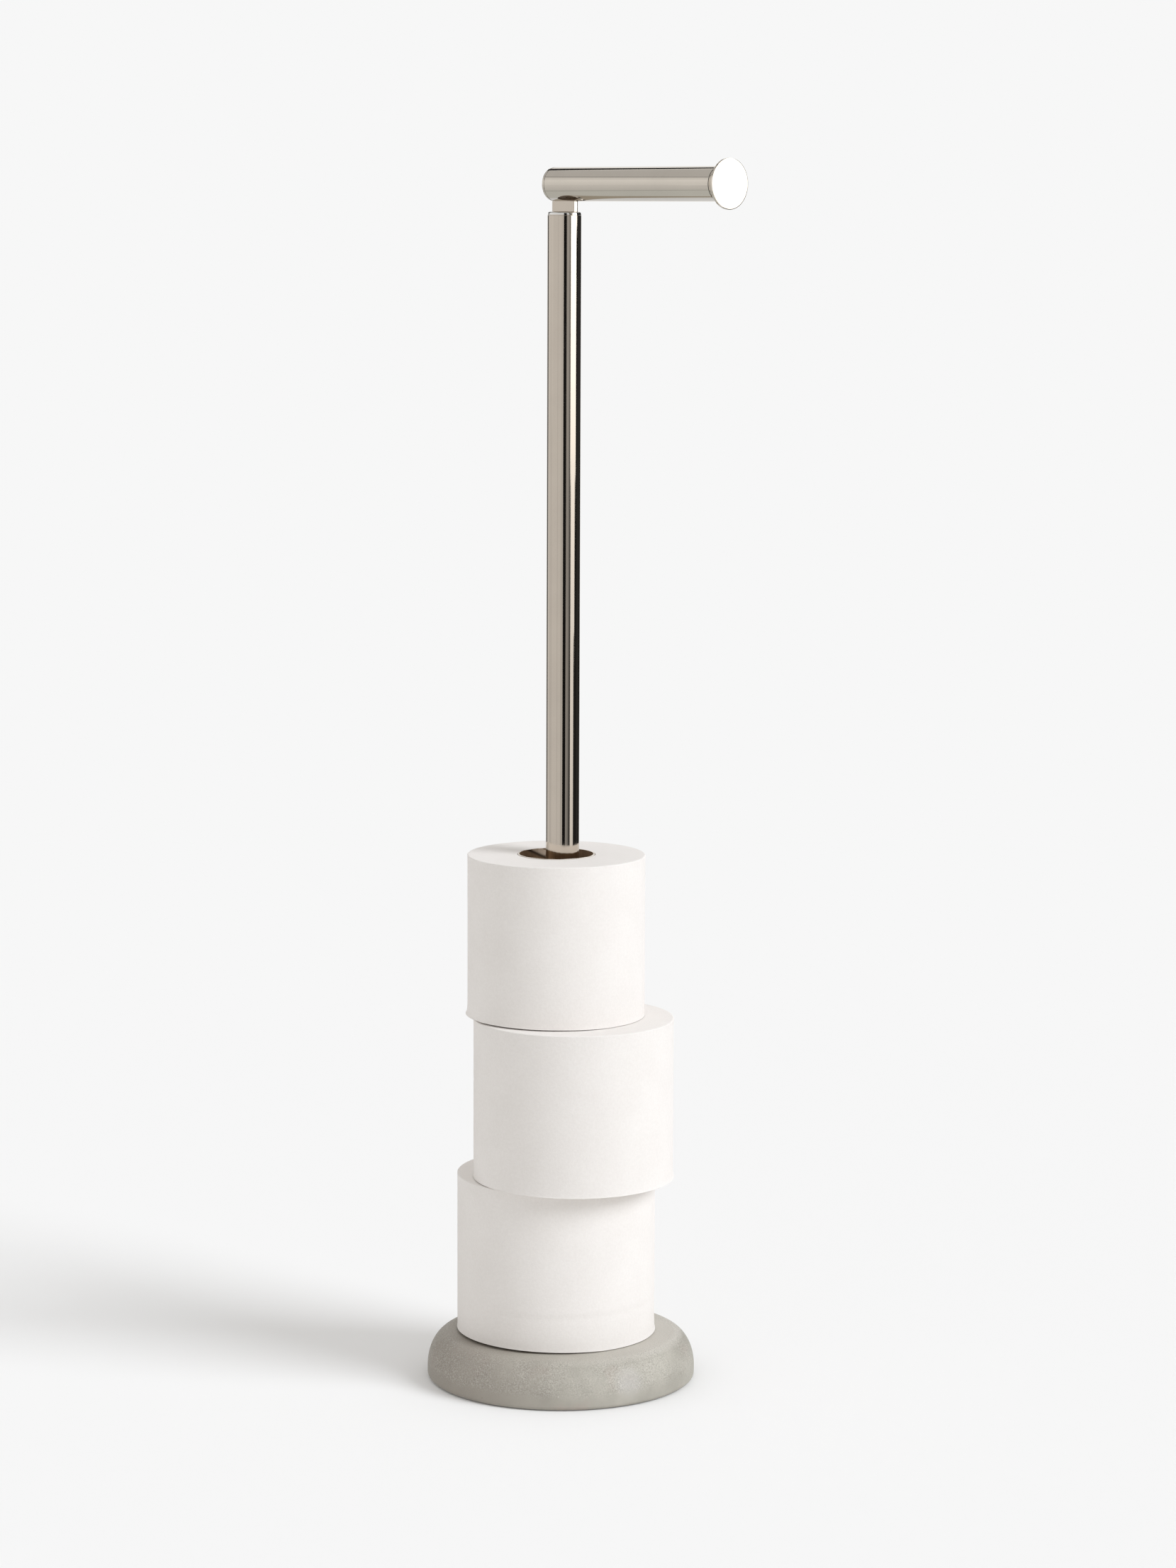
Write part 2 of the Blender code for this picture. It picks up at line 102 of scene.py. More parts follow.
class Graph:
    def __init__(self, tree, material=None):
        self.tree = tree
        self.material = material
        tree.nodes.clear()

    def node(self, kind, settings=None, sockets=None, output=0):
        made = self.tree.nodes.new(kind)
        for name, value in (settings or {}).items():
            setattr(made, name, value)
        if not isinstance(sockets, dict):
            sockets = dict(enumerate(sockets or []))
        for key, value in sockets.items():
            if isinstance(value, Wire):
                self.tree.links.new(value.socket, made.inputs[key])
            else:
                made.inputs[key].default_value = value
        return Wire(self, made.outputs[output]) if len(made.outputs) else None

    def vector(self, operation, *values):
        output = "Value" if operation in ("DOT_PRODUCT", "DISTANCE", "LENGTH") else "Vector"
        sockets = dict(zip((0, "Scale"), values)) if operation == "SCALE" else values
        return self.node("ShaderNodeVectorMath", {"operation": operation}, sockets, output)

    def joined(self, x, y, z=0.0):
        return self.node("ShaderNodeCombineXYZ", None, [x, y, z])

    def axes(self, place):
        split = self.node("ShaderNodeSeparateXYZ", None, [place])
        return split, split.other("Y"), split.other("Z")

    def mixColour(self, factor, first, second):
        first, second = ((*c, 1) if isinstance(c, tuple) else c for c in (first, second))
        return self.node("ShaderNodeMix", {"data_type": "RGBA"}, {0: factor, 6: first, 7: second}, 2)

    def glow(self, colour, strength=1.0):
        return self.node("ShaderNodeEmission", None, [colour, strength])

    def noise(self, vector, scale, detail=2, roughness=0.5):
        sockets = {"Vector": vector, "Scale": scale, "Detail": detail, "Roughness": roughness}
        return self.node("ShaderNodeTexNoise", None, sockets)

    def spots(self, vector, scale):
        return self.node("ShaderNodeTexVoronoi", None, {"Vector": vector, "Scale": scale})

    def attribute(self, name, output="Fac"):
        return self.node("ShaderNodeAttribute", {"attribute_name": name}, output=output)

    def objectPlace(self, centre=(0, 0, 0), stretch=(1, 1, 1)):
        place = self.node("ShaderNodeTexCoord", output="Object")
        moved = [-c * s for c, s in zip(centre, stretch)]
        return self.node("ShaderNodeMapping", None, {"Vector": place, "Location": moved, "Scale": stretch})

    def bump(self, height, distance, strength=1.0, under=None):
        sockets = {"Height": height, "Distance": distance, "Strength": strength}
        if under:
            sockets["Normal"] = under
        return self.node("ShaderNodeBump", None, sockets)


def newMaterial(name):
    material = bpy.data.materials.new(name)
    material.use_nodes = True
    return Graph(material.node_tree, material)


def closeMaterial(graph, shader):
    graph.node("ShaderNodeOutputMaterial", None, [shader])
    return graph.material


def principled(graph, sockets):
    return closeMaterial(graph, graph.node("ShaderNodeBsdfPrincipled", None, sockets))


# Mesh helpers: every finished piece has its place in its mesh and its object at the origin
def newObject(name, mesh):
    obj = bpy.data.objects.new(name, mesh)
    scene.collection.objects.link(obj)
    return obj


def meshFrom(name, shape, smoothAngle=35):
    bmesh.ops.recalc_face_normals(shape, faces=shape.faces)
    mesh = bpy.data.meshes.new(name)
    shape.to_mesh(mesh)
    shape.free()
    mesh.shade_smooth()
    mesh.set_sharp_from_angle(angle=radians(smoothAngle))
    return mesh


def skinned(shape, rings, hollow=False):  # faces between neighbouring rings of points
    for a, b in zip(rings, rings[1:] + rings[:1] if hollow else rings[1:]):
        for i in range(len(a)):
            shape.faces.new(list(dict.fromkeys((a[i - 1], a[i], b[i], b[i - 1]))))


def shownMesh(obj):  # the shape that the object's modifiers give it
    bpy.context.view_layer.update()
    return bpy.data.meshes.new_from_object(obj.evaluated_get(bpy.context.evaluated_depsgraph_get()))


def settled(obj, smoothAngle=35, merge=0.002 * mm):  # its shown shape becomes its plain mesh
    mesh = shownMesh(obj)
    shape = bmesh.new()
    shape.from_mesh(mesh)
    bmesh.ops.remove_doubles(shape, verts=shape.verts, dist=merge)
    material = next((m for m in mesh.materials if m), None)
    for face in shape.faces:
        face.material_index = 0
    old = obj.data
    obj.modifiers.clear()
    obj.data = meshFrom(obj.name, shape, smoothAngle)
    if material:
        obj.data.materials.append(material)
    bpy.data.meshes.remove(old)
    bpy.data.meshes.remove(mesh)


def arc(centre, reach, start, end, steps):
    angles = [radians(start + (end - start) * i / steps) for i in range(steps + 1)]
    return [(centre[0] + reach[0] * cos(a), centre[1] + reach[1] * sin(a)) for a in angles]


def turned(name, outline, sides, place=None, hollow=False, smoothAngle=35):
    shape = bmesh.new()
    spokes = [(cos(fullTurn * i / sides), sin(fullTurn * i / sides)) for i in range(sides)]
    rings = []
    for radius, height in outline:
        if radius == 0:  # a pole on the axis is one point
            rings.append([shape.verts.new((0, 0, height))] * sides)
        else:
            rings.append([shape.verts.new((radius * x, radius * y, height)) for x, y in spokes])
    skinned(shape, rings, hollow)
    shape.transform(place or Matrix.Identity(4))
    return newObject(name, meshFrom(name, shape, smoothAngle))


def block(name, low, high):
    shape = bmesh.new()
    size = [b - a for a, b in zip(low, high)]
    middle = [(a + b) / 2 for a, b in zip(low, high)]
    bmesh.ops.create_cube(shape, size=1, matrix=Matrix.Translation(middle) @ Matrix.Diagonal((*size, 1)))
    return newObject(name, meshFrom(name, shape))


def rod(name, radius, low, high, place, sides):
    shape = bmesh.new()
    lift = place @ Matrix.Translation((0, 0, (low + high) / 2))
    sizes = dict(segments=sides, radius1=radius, radius2=radius, depth=high - low)
    bmesh.ops.create_cone(shape, cap_ends=True, matrix=lift, **sizes)
    return newObject(name, meshFrom(name, shape))


def combined(obj, tool, operation):
    change = obj.modifiers.new(operation, "BOOLEAN")
    change.object, change.operation, change.solver = tool, operation, "EXACT"
    settled(obj)
    bpy.data.objects.remove(tool, do_unlink=True)
    return obj


def evened(obj):  # normals follow the large faces, so that flats and long sides mirror evenly
    weight = obj.modifiers.new("even normals", "WEIGHTED_NORMAL")
    weight.mode, weight.keep_sharp = "FACE_AREA", True
    mesh, old = shownMesh(obj), obj.data
    obj.modifiers.clear()
    obj.data = mesh
    bpy.data.meshes.remove(old)
    return obj


def dress(obj, material):
    obj.data.materials.clear()
    obj.data.materials.append(material)


# Camera, at the photograph's viewing angle
camera = {
    "lens": 94.39,
    "azimuth": 46.5,  # degrees round the object from looking along +Y
    "pitch": 7.947,
    "roll": 0.231,
    "distance": 2.4615,
    "sideways": 15.18 * mm,
    "aimHeight": 363.72 * mm,
}
viewTurn = radians(camera["azimuth"])
viewRight = Vector((cos(viewTurn), sin(viewTurn), 0))
viewAway = Vector((-sin(viewTurn), cos(viewTurn), 0))
viewUp = Vector((0, 0, 1))


def makeCamera():
    pitch = radians(camera["pitch"])
    place = viewRight * camera["sideways"] - viewAway * camera["distance"] * cos(pitch)
    place += viewUp * (camera["aimHeight"] + camera["distance"] * sin(pitch))
    turn = Matrix.Rotation(viewTurn, 4, "Z") @ Matrix.Rotation(radians(90) - pitch, 4, "X")
    data = bpy.data.cameras.new("camera")
    data.lens = camera["lens"]
    obj = newObject("camera", data)
    roll = Matrix.Rotation(radians(camera["roll"]), 4, "Z")
    obj.matrix_world = Matrix.Translation(place) @ turn @ roll
    scene.camera = obj


def seenFrom(bearing, elevation=0):  # a direction by its bearing from the camera, positive to the right
    flat = viewRight * sin(radians(bearing)) - viewAway * cos(radians(bearing))
    return flat * cos(radians(elevation)) + viewUp * sin(radians(elevation))


makeCamera()
print("camera made")

# Studio: a pale floor, one broad key lamp from the right, an even world, and cards that only metal mirrors
studio = {
    "keyBearing": 62,
    "keyElevation": 33,
    "keySpread": 30,
    "keyStrength": 2.08,
    "keyColour": (0.93, 0.96, 1.01),
    "worldLight": 0.66,
    "worldTilt": 0.25,  # how much brighter the world is towards its bright side than on average
    "worldBearing": -110,
    "worldElevation": 10,
    "worldColour": (1.0, 0.99, 0.975),
    "backdrop": 0.930,
    "floorColour": (0.90, 0.895, 0.885),
    "floorSize": 9.0,
    "floorFade": (0.7, 2.2),  # distances between which the lit floor gives way to the backdrop
    "cardRadius": 1.5,
    "cardFacet": 4,  # degrees that one face of a card spans
    "mirroredCeiling": 0.565,
    "mirroredFloor": (0.600, 0.620, 0.612),
    "mirroredRear": (0.76, 0.79, 0.83),
    "rearSlope": 0.554,  # the floor behind this slope mirrors as the pale backdrop
    "rearBlend": 0.01,
    "floorLine": (0.33, 0.32, 0.31),
    "slopeLineWidth": 0.012,
    "floorReach": 1.27,
    "reachLineWidth": 0.035,
}
# Cards round the stand: bearings from and to, heights from and to, brightness at the foot and at the top
studioCards = [
    (-155, -131, 0, 0.72, 0.13, 0.13),
    (-131, -110, 0, 0.72, 0.7, 0.8),
    (-110, -89, 0, 0.55, 0.62, 0.72),
    (-89, -86, 0, 0.5, 0.56, 0.66),
    (-86, -80, 0, 0.5, 0.72, 0.76),
    (-89, -80, 0.5, 0.72, 0.76, 0.82),
    (-110, -89, 0.55, 0.72, 0.72, 0.8),
    (-80, -44, 0, 0.72, 0.72, 0.75),
    (-44, -40, 0, 0.72, 0.6, 0.66),
    (-40, -18, 0, 0.72, 0.7, 0.74),
    (-18, -3, 0, 0.72, 0.54, 0.68),
    (-3, 17, 0, 1.6, 0.01, 0.01),
    (17, 22, 0, 1.6, 0.28, 0.46),
    (22, 27, 0, 1.6, 0.28, 0.78),
    (27, 31, 0, 1.6, 0.25, 0.62),
    (31, 36, 0, 1.6, 0.2, 0.8),
    (36, 41, 0, 1.6, 0.11, 0.46),
    (41, 46, 0, 1.6, 0.04, 0.2),
    (46, 51, 0, 0.45, 0.02, 0.12),
    (51, 76, 0, 0.3, 0.76, 1.05),
    (76, 97, 0, 0.3, 0.02, 0.02),
    (51, 82, 0.3, 0.45, 1.05, 1.4),
    (82, 97, 0.3, 0.45, 0.02, 0.02),
    (46, 90, 0.45, 0.69, 1.4, 2.3),
    (90, 97, 0.45, 0.69, 0.02, 0.02),
    (46, 97, 0.69, 1.6, 2.3, 2.8),
    (97, 102, 0, 1.6, 0.01, 0.01),
    (102, 136, 0, 1.6, 0.03, 0.045),
    (136, 158, 0, 1.43, 0.008, 0.008),
    (158, 194, 0, 1.43, 0.93, 0.93),
    (194, 205, 0, 0.72, 0.93, 0.93),
    (194, 210, 0.72, 0.9, 0.93, 0.93),
    (194, 210, 0.9, 1.43, 0.01, 0.01),
    (143, 196, 1.43, 1.68, 0.93, 0.93),
    (196, 210, 1.43, 1.68, 0.01, 0.01),
    (143, 210, 1.68, 2.02, 0.01, 0.01),
    (143, 210, 2.02, 2.13, 0.8, 0.8),
    (-150, -132, 0.72, 0.92, 0.79, 0.83),
    (-150, -132, 0.92, 1.68, 0.01, 0.01),
    (-132, -3, 0.72, 1.15, 0.79, 0.88),
    (-132, -3, 1.15, 1.58, 0.88, 0.68),
    (-132, -3, 1.58, 1.66, 0.33, 0.33),
]
studioCeiling = {"height": 2.4, "reach": 0.95, "brightness": 0.06}


def grey(light):
    return (light, light, light, 1)


def makeWorld():
    world = bpy.data.worlds.new("studio")
    scene.world = world
    world.use_nodes = True
    graph = Graph(world.node_tree)
    ray = graph.node("ShaderNodeLightPath", output="Is Camera Ray")
    brightSide = seenFrom(studio["worldBearing"], studio["worldElevation"])
    tilt = graph.vector("DOT_PRODUCT", graph.node("ShaderNodeTexCoord", output="Generated"), brightSide)
    light = (tilt * studio["worldTilt"] + 1) * studio["worldLight"]
    ceiling, backdrop = grey(studio["mirroredCeiling"]), grey(studio["backdrop"])
    lights = (((*studio["worldColour"], 1), light), (ceiling, 1.0), (backdrop, 1.0))
    lit, mirrored, shown = (graph.node("ShaderNodeBackground", None, pair) for pair in lights)
    mixed = graph.node("ShaderNodeMixShader", None, [ray.other("Is Glossy Ray"), lit, mirrored])
    mixed = graph.node("ShaderNodeMixShader", None, [ray, mixed, shown])
    graph.node("ShaderNodeOutputWorld", None, [mixed])


def makeKey():
    data = bpy.data.lights.new("keyLamp", "SUN")
    data.energy = studio["keyStrength"]
    data.angle = radians(studio["keySpread"])
    data.color = studio["keyColour"]
    obj = newObject("keyLamp", data)
    obj.rotation_mode = "QUATERNION"
    obj.rotation_quaternion = seenFrom(studio["keyBearing"], studio["keyElevation"]).to_track_quat("Z", "Y")
    obj.visible_glossy = False  # metal mirrors the bright card in its place


def floorLift():  # light added to the open floor for the camera alone, so that it meets the backdrop
    keyShare = studio["keyStrength"] * sin(radians(studio["keyElevation"])) / pi
    # two thirds of the world's tilt reach a level face
    skyShare = 1 + studio["worldTilt"] * sin(radians(studio["worldElevation"])) * 2 / 3
    skyShare *= studio["worldLight"]
    tones = zip(studio["floorColour"], studio["worldColour"], studio["keyColour"])
    return [studio["backdrop"] - paint * (skyShare * sky + keyShare * lamp) for paint, sky, lamp in tones]


def makeFloor():
    shape = bmesh.new()
    bmesh.ops.create_grid(shape, x_segments=1, y_segments=1, size=studio["floorSize"])
    floor = newObject("floor", meshFrom("floor", shape))
    graph = newMaterial("paleFloor")
    ray = graph.node("ShaderNodeLightPath", output="Is Camera Ray")
    place = graph.node("ShaderNodeTexCoord", output="Object")
    distance = graph.vector("LENGTH", place)
    fade = distance.step(*studio["floorFade"])
    matte = graph.node("ShaderNodeBsdfDiffuse", None, [(*studio["floorColour"], 1)])
    lit = graph.node("ShaderNodeAddShader", None, [matte, graph.glow((*floorLift(), 1), ray)])
    backdrop = graph.glow(grey(studio["backdrop"]))
    shown = graph.node("ShaderNodeMixShader", None, [fade * ray, lit, backdrop])

    # what metal mirrors of the floor
    sideways = graph.vector("DOT_PRODUCT", place, viewRight).math("ABSOLUTE")
    rear = graph.vector("DOT_PRODUCT", place, viewAway) * studio["rearSlope"] - sideways
    isRear = rear.step(-studio["rearBlend"], studio["rearBlend"])
    colour = graph.mixColour(isRear, studio["mirroredFloor"], studio["mirroredRear"])
    reachLine = distance.bell(studio["floorReach"], studio["reachLineWidth"])
    line = rear.bell(0, studio["slopeLineWidth"]).atLeast(reachLine)
    mirrored = graph.glow(graph.mixColour(line, colour, studio["floorLine"]))
    shown = graph.node("ShaderNodeMixShader", None, [ray.other("Is Glossy Ray"), shown, mirrored])
    floor.data.materials.append(closeMaterial(graph, shown))


def makeCards():
    shape = bmesh.new()
    light = shape.loops.layers.float_color.new("cardLight")

    def addFace(corners, tones):
        face = shape.faces.new([shape.verts.new(c) for c in corners])
        for loop, tone in zip(face.loops, tones):
            loop[light] = grey(tone)

    for start, end, low, high, foot, top in studioCards:
        steps = max(1, round((end - start) / studio["cardFacet"]))
        edges = [seenFrom(start + (end - start) * i / steps) * studio["cardRadius"] for i in range(steps + 1)]
        for left, right in zip(edges, edges[1:]):
            corners = [left + viewUp * low, right + viewUp * low, right + viewUp * high, left + viewUp * high]
            addFace(corners, (foot, foot, top, top))
    reach, lift = studioCeiling["reach"], viewUp * studioCeiling["height"]
    square = ((-1, -1), (1, -1), (1, 1), (-1, 1))
    corners = [lift + viewRight * reach * a + viewAway * reach * b for a, b in square]
    addFace(corners, [studioCeiling["brightness"]] * 4)
    mesh = bpy.data.meshes.new("studioCards")
    shape.to_mesh(mesh)
    shape.free()
    cards = newObject("studioCards", mesh)
    cards.visible_camera = cards.visible_diffuse = cards.visible_shadow = False
    graph = newMaterial("cardGlow")
    glow = graph.glow(graph.attribute("cardLight", "Color"))
    mesh.materials.append(closeMaterial(graph, glow))


makeWorld()
makeKey()
makeFloor()
makeCards()
print("studio made")

# Polished nickel for the pole, cap, arm, block and flange
nickel = {
    "colour": (0.69, 0.63, 0.55),
    "uprightColour": (0.655, 0.58, 0.495),
    "depth": 0.955,  # of the colour where it is deeper
    "roughness": (0.035, 0.085),
    "haze": (38, 4, 0.6),  # each noise is its scale, detail and roughness
    "lines": (900, 3, 0.6),
    "lineRoughness": 0.02,
    "lineBump": (0.0006 * mm, 0.6),  # each bump is its distance and strength
    "markScale": 260,
    "markSize": (0.10, 0.02),
    "markRoughness": 0.03,
    # painted highlight: the cap's ring is lighter in a band between its foot and its top
    "ringPaintedHighlight": (0.80, 0.79, 0.765),
    "ringHighlightBand": 0.8 * mm,
    # the cap's top face is darker: partly an unpolished turned finish, partly painted shade at the neck's
    # foot
    "unpolishedTopShade": (0.16, 0.125, 0.10),
    "unpolishedTopShadeBand": 0.1 * mm,
    "unpolishedTopShadeShare": 0.9,
}


def polishedNickel(name, tint, stretch, ring=None):  # the stretch runs the drawn lines along the piece
    graph = newMaterial(name)
    place = graph.objectPlace()
    haze = graph.noise(place, *nickel["haze"])
    lines = graph.noise(graph.objectPlace(stretch=stretch), *nickel["lines"])
    marks = graph.spots(place, nickel["markScale"]).step(*nickel["markSize"])
    rough = haze.step(0.35, 0.7, *nickel["roughness"]) + lines.step(0.4, 0.7, 0, nickel["lineRoughness"])
    colour = graph.mixColour(haze.step(0.3, 0.7), tint, tuple(c * nickel["depth"] for c in tint))
    if ring:  # painted highlight: the cap's ring is brighter between these two heights; its top face is darker, partly an unpolished turned finish and partly painted shade in the crevice at the neck's foot
        height = graph.axes(place)[2]
        colour = graph.mixColour(height.bell(sum(ring) / 2, nickel["ringHighlightBand"]), colour, nickel["ringPaintedHighlight"])
        # painted shade on the top face and at the neck's foot, together with its unpolished finish
        shadedTop = height.bell(ring[1], nickel["unpolishedTopShadeBand"]) * nickel["unpolishedTopShadeShare"]
        colour = graph.mixColour(shadedTop, colour, nickel["unpolishedTopShade"])
    return principled(graph, {
        "Base Color": colour,
        "Metallic": 1.0,
        "Roughness": rough + marks * nickel["markRoughness"],
        "Normal": graph.bump(lines, *nickel["lineBump"]),
    })


nickelAlong = polishedNickel("polishedNickelAlong", nickel["colour"], (0.02, 1, 1))

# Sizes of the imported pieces, which every piece below takes its own from
gap = 0.3 * mm
baseLow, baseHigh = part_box("concrete_base")
poleLow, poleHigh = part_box("pole_tube")
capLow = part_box("post_cap")[0]
armLow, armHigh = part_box("arm_tube")
blockLow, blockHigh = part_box("hinge_block")
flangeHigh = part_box("end_flange")[1]
pinLow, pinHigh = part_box("hinge_pin")
washerLow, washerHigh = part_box("hinge_washer_left")
poleRadius = poleHigh.x
armRadius = armHigh.y
armAxis = (armLow.z + armHigh.z) / 2
alongArm = Matrix.Translation((0, 0, armAxis)) @ Matrix.Rotation(radians(90), 4, "Y")
acrossArm = Matrix.Translation((0, 0, armAxis)) @ Matrix.Rotation(radians(-90), 4, "X")

pole = {"wall": 1.2 * mm, "edge": 0.14 * mm, "edgeSteps": 4, "seam": 0.06 * mm, "sides": 192}


def makePole():
    outer, inner, edge, steps = poleRadius, poleRadius - pole["wall"], pole["edge"], pole["edgeSteps"]
    low, high = poleLow.z, poleHigh.z + gap - pole["seam"]
    outline = [(inner, low), (inner, high), (outer - edge, high)]
    outline += arc((outer - edge, high - edge), (edge, edge), 90, 0, steps)[1:]
    outline += arc((outer - edge, low + edge), (edge, edge), 0, -90, steps)
    tube = turned("pole", outline, pole["sides"], hollow=True)
    dress(evened(tube), nickelUpright)
    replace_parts(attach(tube, "stand"), "pole_tube")


postCap = {
    "ringHeight": 2.2 * mm,
    "ringTaper": 0.25 * mm,
    "ringRound": (1.6 * mm, 0.95 * mm),
    "ringRoundEnd": 8,  # degrees above level where the round meets the ring's taper
    "ringSteps": 18,
    "spigotTaper": 0.8 * mm,
    "neckInset": 0.5 * mm,
    "neckShift": 0.4 * mm,  # towards the flange
    "neckThickness": 3.2 * mm,
    "neckRound": 0.34 * mm,
    "neckSteps": 6,
    "neckGap": 0.04 * mm,
    "tongueThickness": 3.0 * mm,
    "tongueHeadroom": 1.8 * mm,
    "tongueSides": 128,
    "pinClearance": 0.15 * mm,
    "pinSides": 48,
    "overrun": 4 * mm,
}
arm = {
    "slotHalfWidth": postCap["tongueThickness"] / 2 + gap,
    "sides": 192,
    "rim": 2.1 * mm,
    "rimRound": 1.0 * mm,
    "rimSteps": 8,
    "noseTaper": 0.8 * mm,
    "pocketSides": 64,
    "flangeRim": 1.4 * mm,
    "flangeEdge": 0.4 * mm,
    "flangeSmoothAngle": 32,
    "spigot": 12 * mm,
}
capBottom = poleHigh.z + gap
capTop = capBottom + postCap["ringHeight"]
nickelUpright = polishedNickel(
    "polishedNickelUpright", nickel["uprightColour"], (1, 1, 0.02), (capBottom, capTop))
tubeBore = armRadius - pole["wall"]
insertRadius = tubeBore - gap  # of the block and the flange's spigot, which sit in the tube
tongueRadius = tubeBore - postCap["tongueHeadroom"]
pinHole = (pinHigh.x - pinLow.x) / 2 + postCap["pinClearance"]


def milledNeck():  # a round bar milled flat on two sides, hollowed on top to follow the arm
    half, reach, soft = postCap["neckThickness"] / 2, poleRadius - postCap["neckInset"], postCap["neckRound"]
    cornerReach = sqrt((reach - soft) ** 2 - (half - soft) ** 2)
    tilt = degrees(atan2(half - soft, cornerReach))
    side = arc((cornerReach, half - soft), (soft, soft), 90, tilt, postCap["neckSteps"])
    side += arc((0, 0), (reach, reach), tilt, 0, postCap["neckSteps"])[1:]
    side += [(x, -y) for x, y in reversed(side[:-1])]
    plan = [(x + postCap["neckShift"], y) for x, y in side + [(-x, -y) for x, y in side]]
    heights = (capTop - soft, armAxis - armRadius / 2)
    shape = bmesh.new()
    foot, top = ([shape.verts.new((x, y, z)) for x, y in plan] for z in heights)
    skinned(shape, [foot, top])
    shape.faces.new(foot)
    shape.faces.new(top)
    neck = newObject("neck", meshFrom("neck", shape))
    hollow = rod("hollow", armRadius + postCap["neckGap"], -reach * 2, reach * 2, alongArm, arm["sides"])
    return combined(neck, hollow, "DIFFERENCE")


def makePostCap():
    soft, edge, taper = postCap["ringRound"], pole["edge"], postCap["spigotTaper"]
    spigot = poleRadius - pole["wall"] - gap
    roundCentre = (poleRadius - postCap["ringTaper"] - soft[0], capTop - soft[1])
    outline = [(0, capTop)] + arc(roundCentre, soft, 90, postCap["ringRoundEnd"], postCap["ringSteps"])
    outline += [(poleRadius, capBottom + edge), (poleRadius - edge, capBottom), (spigot, capBottom)]
    outline += [(spigot, capLow.z + taper), (spigot - taper, capLow.z), (0, capLow.z)]
    cap = turned("postCap", outline, pole["sides"])

    half, over = postCap["tongueThickness"] / 2, postCap["overrun"]
    combined(cap, milledNeck(), "UNION")
    tongue = rod("tongue", tongueRadius, -half, half, acrossArm, postCap["tongueSides"])
    stem = block("stem", (-tongueRadius, -half, armAxis - armRadius - gap), (tongueRadius, half, armAxis))
    combined(tongue, stem, "UNION")
    combined(cap, tongue, "UNION")
    combined(cap, rod("eye", pinHole, -over, over, acrossArm, postCap["pinSides"]), "DIFFERENCE")
    dress(evened(cap), nickelUpright)
    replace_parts(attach(cap, "stand"), "post_cap")


def armSlot():  # open underneath and at the rear, where the neck passes as the arm flips up
    over = postCap["overrun"]
    low = (blockLow.x - over, -arm["slotHalfWidth"], armAxis - armRadius - over)
    high = (tongueRadius + gap, arm["slotHalfWidth"], armAxis + tongueRadius + gap)
    return block("slot", low, high)


def makeArmTube():
    rear, front = blockLow.x + arm["rim"] + gap, armHigh.x
    outline = [(tubeBore, rear), (tubeBore, front), (armRadius, front), (armRadius, rear)]
    tube = turned("armTube", outline, arm["sides"], alongArm, hollow=True)
    combined(tube, armSlot(), "DIFFERENCE")
    dress(evened(tube), nickelAlong)
    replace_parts(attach(tube, "arm"), "arm_tube")


def makeHingeBlock():  # its rear end is the arm's closed, rounded rim
    bore, nose, rear = insertRadius, blockHigh.x, blockLow.x
    taper, soft, rimFront = arm["noseTaper"], arm["rimRound"], rear + arm["rim"]
    outline = [(0, nose), (bore - taper, nose), (bore, nose - taper), (bore, rimFront)]
    outline += [(armRadius - gap / 3, rimFront), (armRadius, rimFront - gap / 3)]
    outline += arc((armRadius - soft, rear + soft), (soft, soft), 0, -90, arm["rimSteps"]) + [(0, rear)]
    hinge = turned("hingeBlock", outline, arm["sides"], alongArm)
    combined(hinge, armSlot(), "DIFFERENCE")
    washerRadius, pocket = (washerHigh.x - washerLow.x) / 2 + gap, washerHigh.y + gap
    pockets = rod("pockets", washerRadius, -pocket, pocket, acrossArm, arm["pocketSides"])
    combined(hinge, pockets, "DIFFERENCE")
    hole = rod("pinHole", pinHole, -armRadius, armRadius, acrossArm, postCap["pinSides"])
    combined(hinge, hole, "DIFFERENCE")
    dress(evened(hinge), nickelAlong)
    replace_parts(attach(hinge, "arm"), "hinge_block")


def makeEndFlange():  # a flat face with a softened edge, a thin rim, a flare down to the tube, and a spigot
    face, edge, bore, back = flangeHigh.y, arm["flangeEdge"], insertRadius, armHigh.x + gap
    front, rimBack = flangeHigh.x, flangeHigh.x - arm["flangeRim"]
    # the edges' corners lie at shares of the edge's width
    outline = [(0, front), (face - edge * 1.5, front), (face - edge, front)]
    outline += [(face - edge * 0.3, front - edge * 0.25), (face, front - edge)]
    outline += [(face, rimBack + edge / 4), (face - edge / 3, rimBack - edge / 4), (armRadius, back)]
    outline += [(bore, back), (bore, back - arm["spigot"]), (0, back - arm["spigot"])]
    smooth = arm["flangeSmoothAngle"]
    flange = turned("endFlange", outline, arm["sides"], alongArm, smoothAngle=smooth)
    dress(evened(flange), nickelAlong)
    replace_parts(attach(flange, "arm"), "end_flange")


makePole()
makePostCap()
makeArmTube()
makeHingeBlock()
makeEndFlange()
print("metal made")

